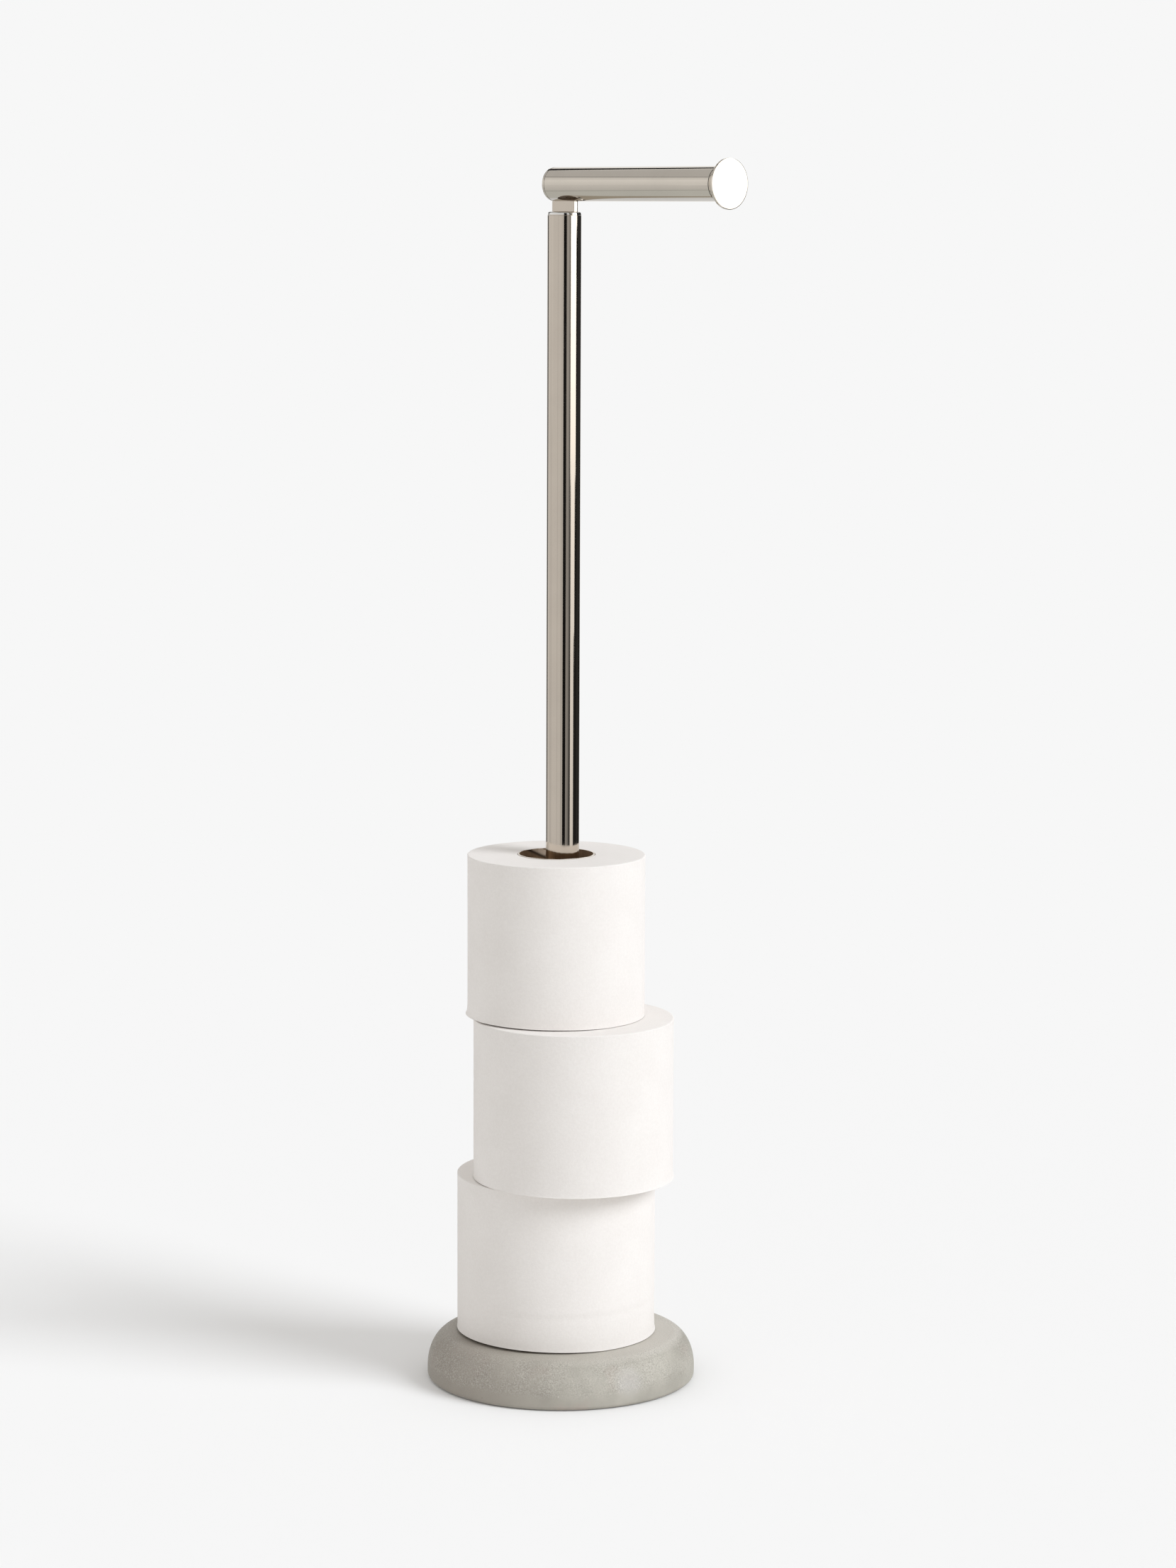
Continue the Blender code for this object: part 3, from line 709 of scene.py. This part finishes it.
# Cast concrete base: a turned casting whose skin is roughened by a node tree
base = {
    "lowerRound": 2.6 * mm,
    "sideHeight": 2.9 * mm,
    "shoulderReach": 13.5 * mm,
    "boltHole": 4.6 * mm,
    "skirt": 72.5 * mm,  # outside the foot pad the casting hangs a little lower, so that no gap shows
    "skirtDrop": 0.9 * mm,
    "recess": 18 * mm,
    "recessDepth": 11.2 * mm,
    "sides": 640,
    "shoulderSteps": 64,
    "roundSteps": 14,
    "topRings": 30,
    "footRings": 12,
    "unevenness": 0.16 * mm,
    "unevenScale": 45,
    "pitDepth": 0.3 * mm,
    "pitScale": 230,
    "pitEdge": (0.20, 0.05),
    "pitChance": (0.92, 0.95),  # only cells whose random value is above this are pits
    "seed": 4.0,
}
concrete = {
    "light": (0.455, 0.432, 0.376),
    "dark": (0.355, 0.334, 0.288),
    "cloud": (30, 4, 0.55),
    "cloudBump": (0.25 * mm, 0.4),
    "warm": (0.395, 0.335, 0.292),
    "warmCloud": (44, 3),
    "warmShare": 0.6,
    # painted light: the flat top is lighter towards the lit side
    "litTop": (0.56, 0.53, 0.475),
    "litTopHeights": (24 * mm, 27.2 * mm),
    "litTopShare": 0.8,
    # painted shade: the side of the base away from the key lamp is darker
    "shadedSide": (0.300, 0.264, 0.226),
    "shadedSideBearing": -75,
    "shadedSideShare": 0.75,
    "grainLight": (0.70, 0.68, 0.62),
    "grainLightShare": 0.31,
    "grainDark": (0.19, 0.175, 0.155),
    "grainDarkShare": 0.42,
    "sand": (1200, 2, 0.7),
    "sandBump": (0.10 * mm, 0.6),
    "sandyHeights": (6 * mm, 12 * mm),  # smooth below, sandy above
    "flatRadii": (62 * mm, 70 * mm),  # and smoother again on the flat top
    "flatSand": 0.35,
    "patches": (70, 3, 0.6),
    "speckScale": 240,
    "speckSize": (0.11, 0.05),
    # painted highlight: a lavender patch with lighter grains on the shoulder that faces the key lamp
    "highlight": (0.54, 0.525, 0.545),
    "highlightBearing": 31,
    "highlightHeight": 15 * mm,
    "highlightReach": 12 * mm,
    "highlightShare": 0.5,
    "highlightGrain": 0.4,
    "roughness": (0.42, 0.70),
}


def groupInputs(tree, fields):  # the inputs' names by kind; returns their wires and identifiers
    graph = Graph(tree)
    for flow in ("INPUT", "OUTPUT"):
        tree.interface.new_socket("Geometry", in_out=flow, socket_type="NodeSocketGeometry")
    keys = {}
    for kind, names in fields.items():
        for name in names:
            made = tree.interface.new_socket(name, in_out="INPUT", socket_type="NodeSocket" + kind)
            keys[name] = made.identifier
    entry = graph.node("NodeGroupInput")
    wires = {name: entry.other(name) for name in keys}
    wires["Geometry"] = entry
    return graph, wires, keys


def closeGeometry(graph, geometry, material):
    geometry = graph.node("GeometryNodeRealizeInstances", None, [geometry])
    geometry = graph.node("GeometryNodeSetMaterial", None, {"Geometry": geometry, "Material": material})
    graph.node("NodeGroupOutput", None, [geometry])


def runTree(obj, tree, keys, settings):  # the input "Pit Scale" takes the setting pitScale, and so on
    modifier = obj.modifiers.new(tree.name, "NODES")
    modifier.node_group = tree
    for name, key in keys.items():
        modifier[key] = settings[name[0].lower() + name[1:].replace(" ", "")]


def castSkinTree():
    tree = bpy.data.node_groups.new("castSkin", "GeometryNodeTree")
    sizes = ["Unevenness", "Uneven Scale", "Pit Depth", "Pit Scale", "Seed"]
    graph, given, keys = groupInputs(tree, {"Float": sizes, "Material": ["Skin"]})
    shift = graph.joined(given["Seed"], given["Seed"], given["Seed"])
    where = graph.vector("ADD", graph.node("GeometryNodeInputPosition"), shift)
    wave = graph.noise(where, given["Uneven Scale"], 3) - 0.5
    pit = graph.spots(where, given["Pit Scale"])
    chance = graph.node("FunctionNodeSeparateColor", None, [pit.other("Color")])
    pits = pit.step(*base["pitEdge"]) * chance.step(*base["pitChance"])
    push = wave * given["Unevenness"] - pits * given["Pit Depth"]
    offset = graph.vector("SCALE", graph.node("GeometryNodeInputNormal"), push)
    moved = graph.node("GeometryNodeSetPosition", None, {"Geometry": given["Geometry"], "Offset": offset})
    closeGeometry(graph, moved, given["Skin"])
    return tree, keys


def castConcrete():
    graph = newMaterial("castConcrete")
    place = graph.objectPlace()
    x, y, z = graph.axes(place)
    radius = (x * x + y * y).math("SQRT")
    cloud = graph.noise(place, *concrete["cloud"])
    blush = graph.noise(graph.objectPlace((0.3, 0.1, 0.2)), *concrete["warmCloud"])
    patch = graph.noise(graph.objectPlace((0.1, 0.4, 0)), *concrete["patches"])
    sandy = z.step(*concrete["sandyHeights"]) * radius.step(*concrete["flatRadii"], concrete["flatSand"], 1.0)
    sandy = sandy * patch.step(0.38, 0.62, 0.4, 1.0)
    sand = graph.noise(place, *concrete["sand"])

    # painted highlight on the shoulder where the key lamp gleams
    highlightPlace = seenFrom(concrete["highlightBearing"]) * baseHigh.x + viewUp * concrete["highlightHeight"]
    highlight = graph.vector("DISTANCE", place, highlightPlace).step(0, concrete["highlightReach"], 1.0, 0.0)
    highlight = highlight * patch.step(0.3, 0.6, 0.5, 1.0)
    speck = graph.spots(place, concrete["speckScale"])
    chance = graph.node("ShaderNodeSeparateColor", None, [speck.other("Color")])
    speck = speck.step(*concrete["speckSize"])
    # painted shade: how far a point lies towards the base's shaded side, away from the key lamp
    shadedSide = graph.vector("DOT_PRODUCT", place, seenFrom(concrete["shadedSideBearing"]) / baseHigh.x)
    # painted light on the flat top, fading towards the shaded side
    litTopMask = z.step(*concrete["litTopHeights"]) * shadedSide.step(0.6, -0.6)
    # grains are lighter, and lighter still as painted glints inside the highlight
    grainAndGlintShare = highlight * concrete["highlightGrain"] + concrete["grainLightShare"]

    colour = graph.mixColour(cloud.step(0.32, 0.68), concrete["dark"], concrete["light"])
    # the tones below: random clouds, a warm blush, painted shade on the side away from the lamp, painted
    # light on the flat top, a painted highlight with lighter grains, and grains
    for share, tint in (
        (blush.step(0.52, 0.72) * concrete["warmShare"], "warm"),
        (shadedSide.step(0.0, 1.0) * concrete["shadedSideShare"], "shadedSide"),
        (litTopMask * concrete["litTopShare"], "litTop"),
        (highlight * concrete["highlightShare"], "highlight"),
        (sand.step(0.50, 0.66) * sandy * grainAndGlintShare, "grainLight"),
        (sand.step(0.50, 0.34) * sandy * concrete["grainDarkShare"], "grainDark"),
        (speck * chance.step(0.93, 0.95), "grainDark"),
        (speck * chance.step(0.03, 0.01), "grainLight"),
    ):
        colour = graph.mixColour(share, colour, concrete[tint])
    low, high = concrete["roughness"]
    soft = graph.bump(cloud, *concrete["cloudBump"])
    return principled(graph, {
        "Base Color": colour,
        "Roughness": sand.step(0.3, 0.7, high, low),
        "Normal": graph.bump(sand * sandy, *concrete["sandBump"], soft),
    })


def makeBase():
    radius, low, high = baseHigh.x, baseLow.z, baseHigh.z
    rim, skirt = low - base["skirtDrop"], base["skirt"]
    lower, reach = base["lowerRound"], base["shoulderReach"]
    shoulder = (radius - reach, low + lower + base["sideHeight"])
    hole, recess, ceiling = base["boltHole"], base["recess"], low + base["recessDepth"]
    rings, feet = base["topRings"], base["footRings"]
    outline = [(hole, ceiling)]
    outline += [(hole + (shoulder[0] - hole) * (i / rings) ** 0.5, high) for i in range(rings)]
    outline += arc(shoulder, (reach, high - shoulder[1]), 90, 0, base["shoulderSteps"])
    outline += arc((radius - lower, rim + lower), (lower, lower), 0, -90, base["roundSteps"])
    outline += [(skirt, rim), (skirt, low)]
    outline += [(skirt - (skirt - recess) * i / feet, low) for i in range(1, feet + 1)]
    outline += [(recess, ceiling)]
    cast = turned("castBase", outline, base["sides"], hollow=True, smoothAngle=60)
    tree, keys = castSkinTree()
    runTree(cast, tree, keys, {**base, "skin": castConcrete()})
    settled(cast, 60)
    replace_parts(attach(cast, "stand"), "concrete_base")


makeBase()
print("base made")

# Wound paper: one spiral sheet, drawn as its end faces, its outer turn and its inner turn
paper = {
    "turns": 80.0,
    "segments": 144,
    "rows": 90,
    "crowding": 0.85,  # of the rows towards both ends
    "lip": 0.28 * mm,  # how far the foot of the wall stands out
    "lipHeight": 0.8 * mm,
    "edgeRound": 1.0 * mm,
    "footShare": 0.3,  # of the round at the bottom edge, which is crisper than the top one
    "relief": 0.05 * mm,
    "unevenness": 0.22 * mm,
    "unevenScale": 22.0,
    "weld": 0.02 * mm,
    "footFade": 2.2 * mm,
    "topFade": 1.6 * mm,
    "liftFade": 7 * mm,
    "creaseWidth": 1.8 * mm,
    "ridgeRise": 3.5 * mm,  # a soft ridge above each crease
    "ridgeWidth": 2.5 * mm,
    "ridgeShare": 0.7,
}
tissue = {
    "colour": (0.826, 0.794, 0.763),
    "shade": (0.772, 0.737, 0.704),
    "cutEnd": (0.865, 0.832, 0.802),
    "cutEndShare": 0.8,
    # painted shade in the grooves between the sheet's layers on the end faces
    "shadedGroove": (0.66, 0.625, 0.575),
    "shadedGrooveShare": 0.35,
    "wobble": (60, 3, 0.6),
    "cloud": (34, 3),
    "pile": (620, 4, 0.6),
    "pileBump": (0.17 * mm, 0.7),
    "fibre": (1500, 3, 0.65),
    "fibreBump": (0.09 * mm, 0.7),
    "layerBump": (0.03 * mm, 0.5),
    "roughness": 0.92,
}
rolls = {  # bearings are from the camera, heights from the roll's foot
    "bottom": {"tail": 120, "lift": 1.4 * mm, "liftBearing": -62, "flare": 0.5 * mm, "flareBearing": 80,
               "creaseHeight": 21 * mm, "creaseDepth": 0.22 * mm, "creaseBearing": 25, "seed": 1.0},
    "middle": {"tail": 175, "lift": 0.3 * mm, "liftBearing": -90, "flare": 0.5 * mm, "flareBearing": 85,
               "creaseHeight": 60 * mm, "creaseDepth": 0.08 * mm, "creaseBearing": -40, "seed": 2.0},
    "top": {"tail": -150, "lift": 0.7 * mm, "liftBearing": -60, "flare": 0.9 * mm, "flareBearing": -88,
            "creaseHeight": 80 * mm, "creaseDepth": 0.08 * mm, "creaseBearing": 30, "seed": 3.0,
            "coreRise": 0.85 * mm},
}


def woundPaperTree():
    tree = bpy.data.node_groups.new("woundPaper", "GeometryNodeTree")
    graph, given, keys = groupInputs(tree, {
        "Float": ["Inner Radius", "Outer Radius", "Height", "Turns", "Edge Round", "Foot Share", "Relief",
                  "Unevenness", "Crowding", "Lip", "Lip Height", "Uneven Scale", "Lift", "Flare",
                  "Crease Height", "Crease Depth", "Tail Angle", "Seed"],
        "Int": ["Segments", "Rows"],
        "Vector": ["Lift Side", "Flare Side", "Crease Side", "Place"],
        "Material": ["Paper"],
    })
    inner, outer, height, turns = (given[n] for n in ("Inner Radius", "Outer Radius", "Height", "Turns"))
    pitch = (outer - inner) / turns
    edge, footShare = given["Edge Round"], given["Foot Share"]

    def fall(radius):  # how far the end face drops towards the outer edge
        into = (edge - (outer - radius)).atLeast(0).atMost(edge)
        return edge - (edge * edge - into * into).math("SQRT")

    def crest(across):  # the middle of each layer stands proud of the grooves beside it
        return given["Relief"] * (1 - (across * 2 - 1).math("ABSOLUTE"))

    def grid(columns, rows):
        made = graph.node("GeometryNodeMeshGrid", None, [1.0, 1.0, columns, rows])
        x, y, _ = graph.axes(graph.node("GeometryNodeInputPosition"))
        return made, x + 0.5, y + 0.5

    def placed(mesh, radius, turn, z, woundEnd):
        angle = turn.math("FRACT") * fullTurn + given["Tail Angle"]
        spot = graph.joined(radius * angle.math("COSINE"), radius * angle.math("SINE"), z)
        sockets = {"Geometry": mesh, "Name": "woundEnd", "Value": woundEnd}
        mesh = graph.node("GeometryNodeStoreNamedAttribute", None, sockets)
        return graph.node("GeometryNodeSetPosition", None, {"Geometry": mesh, "Position": spot})

    segments, rows = given["Segments"], given["Rows"]
    parts = []
    for isTop in (True, False):
        columns = segments * (turns - 1) + 1
        mesh, along, across = grid(columns, 3)
        turn = along * (turns - 1)
        radius = inner + pitch * (turn + across)
        if isTop:
            z = height + crest(across) - fall(radius)
        else:
            z = fall(radius) * footShare - crest(across)
        parts.append(placed(mesh, radius, turn, z, ((outer - radius) / edge).atMost(1)))

    def outerTurn(along):
        return outer - pitch * (1 - along)

    def innerTurn(along):
        return inner + pitch * along

    def wall(count, radiusAt, isEnd):  # a whole turn, or the strip that closes an end of the sheet
        mesh, along, up = grid(3 if isEnd else segments + 1, count)
        radius = radiusAt(along)
        proud = crest(along) if isEnd else 0.0
        low = fall(radius) * footShare - proud
        high = height + proud - fall(radius)
        z = low + (up - (up * fullTurn).math("SINE") * given["Crowding"] / fullTurn) * (high - low)
        parts.append(placed(mesh, radius, along * 0 if isEnd else along, z, 0.0))

    for isEnd in (False, True):
        wall(rows, outerTurn, isEnd)
        wall(2, innerTurn, isEnd)

    joined = graph.node("GeometryNodeJoinGeometry")
    for part in reversed(parts):
        graph.tree.links.new(part.socket, joined.socket.node.inputs[0])
    welded = graph.node("GeometryNodeMergeByDistance", None, {"Geometry": joined, "Distance": paper["weld"]})

    place = graph.node("GeometryNodeInputPosition")
    x, y, z = graph.axes(place)
    radius = (x * x + y * y).math("SQRT")
    outward = graph.vector("NORMALIZE", graph.joined(x, y))

    def facing(side, power):  # 1 towards this side, 0 on the far half, and broader with a lower power
        return graph.vector("DOT_PRODUCT", outward, given[side]).atLeast(0) ** power

    share = (radius / outer).atMost(1)  # its powers keep the pushes off the inner layers
    where = graph.vector("ADD", place, graph.joined(given["Seed"], given["Seed"]))
    wave = graph.noise(where, given["Uneven Scale"], 3) - 0.5
    ridge = z.bell(given["Crease Height"] + paper["ridgeRise"], paper["ridgeWidth"]) * paper["ridgeShare"]
    crease = z.bell(given["Crease Height"], paper["creaseWidth"]) - ridge
    push = wave * given["Unevenness"] + given["Flare"] * z.fade(paper["footFade"]) * facing("Flare Side", 2.0)
    push = push + given["Lip"] * z.fade(given["Lip Height"])
    push = push + given["Relief"] * 2 * (height - z).fade(paper["topFade"])
    push = push - crease * given["Crease Depth"] * facing("Crease Side", 0.7)
    sideways = graph.vector("SCALE", outward, push * share ** 3)
    raised = given["Lift"] * facing("Lift Side", 0.8) * z.fade(paper["liftFade"]) * share ** 4
    upward = graph.joined(0.0, 0.0, raised + wave * given["Unevenness"] * 0.5 * share)
    offset = graph.vector("ADD", graph.vector("ADD", sideways, upward), given["Place"])
    moved = graph.node("GeometryNodeSetPosition", None, {"Geometry": welded, "Offset": offset})
    closeGeometry(graph, moved, given["Paper"])
    return tree, keys


def woundTissue(name, centre, pitch, tailAngle):
    graph = newMaterial(name)
    place = graph.objectPlace(centre)
    x, y, _ = graph.axes(place)
    radius = (x * x + y * y).math("SQRT")
    angle = y.math("ARCTAN2", x) - tailAngle
    layer = (radius / pitch - angle / fullTurn) * 2  # each layer of the sheet has two plies
    line = (layer.math("FRACT") * 2 - 1).math("ABSOLUTE")
    wobble = graph.noise(place, *tissue["wobble"])
    woundEnd = graph.attribute("woundEnd")
    # painted shade in the grooves between layers
    shadedGroove = line.step(0.72, 1.0) * woundEnd * wobble.step(0.35, 0.65, 0.25, 1.0)
    fibre = graph.noise(graph.objectPlace(centre, (1, 1, 0.6)), *tissue["fibre"])
    pile = graph.noise(place, *tissue["pile"])
    cloud = graph.noise(place, *tissue["cloud"])
    shade = cloud.step(0.3, 0.75) * 0.35 + pile.step(0.35, 0.65) * 0.35 + fibre.step(0.35, 0.7) * 0.3
    colour = graph.mixColour(shade, tissue["colour"], tissue["shade"])
    colour = graph.mixColour(woundEnd * tissue["cutEndShare"], colour, tissue["cutEnd"])
    colour = graph.mixColour(shadedGroove * tissue["shadedGrooveShare"], colour, tissue["shadedGroove"])
    soft = graph.bump(pile, *tissue["pileBump"])
    fine = graph.bump(fibre, *tissue["fibreBump"], soft)
    wound = graph.bump(line * woundEnd, *tissue["layerBump"], fine)
    return principled(graph, {
        "Base Color": colour,
        "Roughness": tissue["roughness"],
        "Specular IOR Level": 0.2,
        "Normal": wound,
    })


def makePaper(position, tree, keys):
    roll = rolls[position]
    low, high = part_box(position + "_roll_paper")
    coreLow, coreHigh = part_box(position + "_roll_core")
    centre = ((low.x + high.x) / 2, (low.y + high.y) / 2, low.z)
    outer, inner = (high.y - low.y) / 2, (coreHigh.y - coreLow.y) / 2 + gap
    tail = viewTurn + radians(roll["tail"] - 90)
    skin = woundTissue(position + "RollTissue", centre, (outer - inner) / paper["turns"], tail)
    obj = newObject(position + "RollPaper", bpy.data.meshes.new(position + "RollPaper"))
    sides = {side + "Side": seenFrom(roll[side + "Bearing"]) for side in ("lift", "flare", "crease")}
    runTree(obj, tree, keys, {
        **paper, **roll, **sides, "innerRadius": inner, "outerRadius": outer, "height": high.z - low.z,
        "tailAngle": tail, "place": centre, "paper": skin,
    })
    settled(obj, 50, 0.01 * mm)
    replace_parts(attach(obj, position + "_roll"), position + "_roll_paper")


core = {
    "segments": 240,
    "rows": 64,
    "crowding": 2.2,  # how strongly the rows crowd towards the top, where they are seen
    "wall": 0.8 * mm,
    "seamPitch": 66 * mm,
    "seamBearing": -146,
    "seamDrop": 1.9 * mm,
    "seamWidth": 1.1 * mm,
    "overlap": 4.5 * mm,
    "seamHeight": 0.16 * mm,
    "fray": 0.12 * mm,
    "frayDepth": 1.6 * mm,
    "frayInward": 0.5,
}
board = {
    "colour": (0.285, 0.185, 0.108),
    "dark": (0.19, 0.118, 0.066),
    "cloud": (90, 4, 0.6),
    "cloudShare": 0.6,
    "fibre": (900, 3, 0.6),
    "fibreShare": 0.4,
    "fibreBump": (0.06 * mm, 0.6),
    "seam": (0.045, 0.027, 0.015),
    "pale": (0.50, 0.40, 0.31),
    "cut": (0.74, 0.69, 0.62),
    "roughness": 0.88,
}


def kraftBoard():
    graph = newMaterial("kraftBoard")
    fibre = graph.noise(graph.objectPlace(stretch=(1, 1, 0.2)), *board["fibre"])
    cloud = graph.noise(graph.objectPlace(), *board["cloud"])
    dark = cloud.step(0.3, 0.7) * board["cloudShare"] + fibre.step(0.3, 0.7) * board["fibreShare"]
    colour = graph.mixColour(dark, board["colour"], board["dark"])
    colour = graph.mixColour(graph.attribute("overlapBand") * cloud.step(0.35, 0.6), colour, board["pale"])
    colour = graph.mixColour(graph.attribute("seamLine"), colour, board["seam"])
    colour = graph.mixColour(graph.attribute("cutEdge"), colour, board["cut"])
    return principled(graph, {
        "Base Color": colour,
        "Roughness": board["roughness"],
        "Specular IOR Level": 0.25,
        "Normal": graph.bump(fibre, *board["fibreBump"]),
    })


def ragged(angle, seed):  # three waves round the rim
    slow = sin(5 * angle + seed) + sin(13 * angle + 2.3 * seed)
    return slow + sin(71 * angle + 9 * sin(angle))


def makeCore(position, material):
    low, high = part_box(position + "_roll_core")
    rise = rolls[position].get("coreRise", 0)
    seed = rolls[position]["seed"]
    seamSide = seenFrom(core["seamBearing"])
    seamStart = atan2(seamSide.y, seamSide.x) / fullTurn
    centre = Vector(((low.x + high.x) / 2, (low.y + high.y) / 2, 0))
    outer = (high.y - low.y) / 2
    inner = outer - core["wall"]
    rows, segments = core["rows"], core["segments"]
    shape = bmesh.new()
    cutEdge, seamLine, overlapBand = (
        shape.verts.layers.float.new(name) for name in ("cutEdge", "seamLine", "overlapBand"))
    rings = []
    for row in range(2 * rows):  # up the inside, then down the outside
        isInner = row < rows
        step = row / (rows - 1) if isInner else (2 * rows - 1 - row) / (rows - 1)
        share = 1 - (1 - step) ** core["crowding"]
        height = low.z + (high.z + rise - low.z) * share
        nearTop = exp((height - high.z - rise) / core["frayDepth"])
        ring = []
        for i in range(segments):
            angle = fullTurn * i / segments
            along = (height - high.z + core["seamDrop"]) / core["seamPitch"] - i / segments + seamStart
            away = ((along + 0.5) % 1 - 0.5) * core["seamPitch"]  # up from the seam's spiral
            seam = exp(-(away / core["seamWidth"]) ** 2)
            rag = ragged(angle, seed)
            radius = (inner - core["seamHeight"] * seam) if isInner else outer
            radius -= nearTop * core["fray"] * core["frayInward"] * rag / 3
            z = height + core["fray"] * rag / 3 * nearTop
            vert = shape.verts.new(centre + Vector((radius * cos(angle), radius * sin(angle), z)))
            vert[cutEdge] = 1.0 if share in (0, 1) or (not isInner and z > high.z - rise) else 0.0
            vert[overlapBand] = 1.0 if isInner and 0 < away < core["overlap"] else 0.0
            vert[seamLine] = seam if isInner else 0.0
            ring.append(vert)
        rings.append(ring)
    skinned(shape, rings, hollow=True)
    obj = newObject(position + "RollCore", meshFrom(position + "RollCore", shape, 50))
    dress(obj, material)
    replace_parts(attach(obj, position + "_roll"), position + "_roll_core")


paperTree, paperKeys = woundPaperTree()
kraft = kraftBoard()
for position in rolls:
    makePaper(position, paperTree, paperKeys)
    makeCore(position, kraft)
print("rolls made")

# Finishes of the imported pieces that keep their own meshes
packedFinishes = {
    "platedSteel": {
        "nodes": ["load_washer", "spring_washer", "fixing_bolt", "threaded_plug", "hinge_pin"],
        "colours": ((0.60, 0.61, 0.62), (0.50, 0.505, 0.52)),
        "mottle": (420, 4, 0.6),
        "mottleRange": (0.35, 0.7),
        "metallic": 1.0,
        "roughness": (0.28, 0.42),
        "reliefScale": 700,  # turned lines
        "reliefStretch": (1, 1, 6),
        "bump": (0.01 * mm, 0.5),
    },
    "blackRubber": {
        "nodes": ["foot_pad", "pole_gasket"],
        "colours": ((0.022, 0.022, 0.023), (0.05, 0.049, 0.047)),
        "mottle": (130, 4, 0.6),
        "mottleRange": (0.4, 0.8),
        "roughness": (0.72, 0.9),
        "reliefScale": 900,
        "cells": True,
        "bump": (0.05 * mm, 0.5),
    },
    "whiteNylon": {
        "nodes": ["hinge_washer_left", "hinge_washer_right"],
        "colours": ((0.76, 0.75, 0.71), (0.70, 0.69, 0.65)),
        "mottle": (300, 3),
        "mottleRange": (0.3, 0.7),
        "roughness": (0.38, 0.5),
        "reliefScale": 1500,
        "bump": (0.02 * mm, 0.4),
    },
}


def packedFinish(name, look):
    graph = newMaterial(name)
    mottle = graph.noise(graph.objectPlace(), *look["mottle"])
    texture = graph.spots if look.get("cells") else graph.noise
    relief = texture(graph.objectPlace(stretch=look.get("reliefStretch", (1, 1, 1))), look["reliefScale"])
    return principled(graph, {
        "Base Color": graph.mixColour(mottle.step(*look["mottleRange"]), *look["colours"]),
        "Metallic": look.get("metallic", 0.0),
        "Roughness": mottle.step(0.3, 0.7, *look["roughness"]),
        "Normal": graph.bump(relief, *look["bump"]),
    })


for name, look in packedFinishes.items():
    finish = packedFinish(name, look)
    for nodeName in look["nodes"]:
        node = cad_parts[nodeName]
        node.data.materials.clear()
        node.data.materials.append(finish)
print("packed pieces dressed")
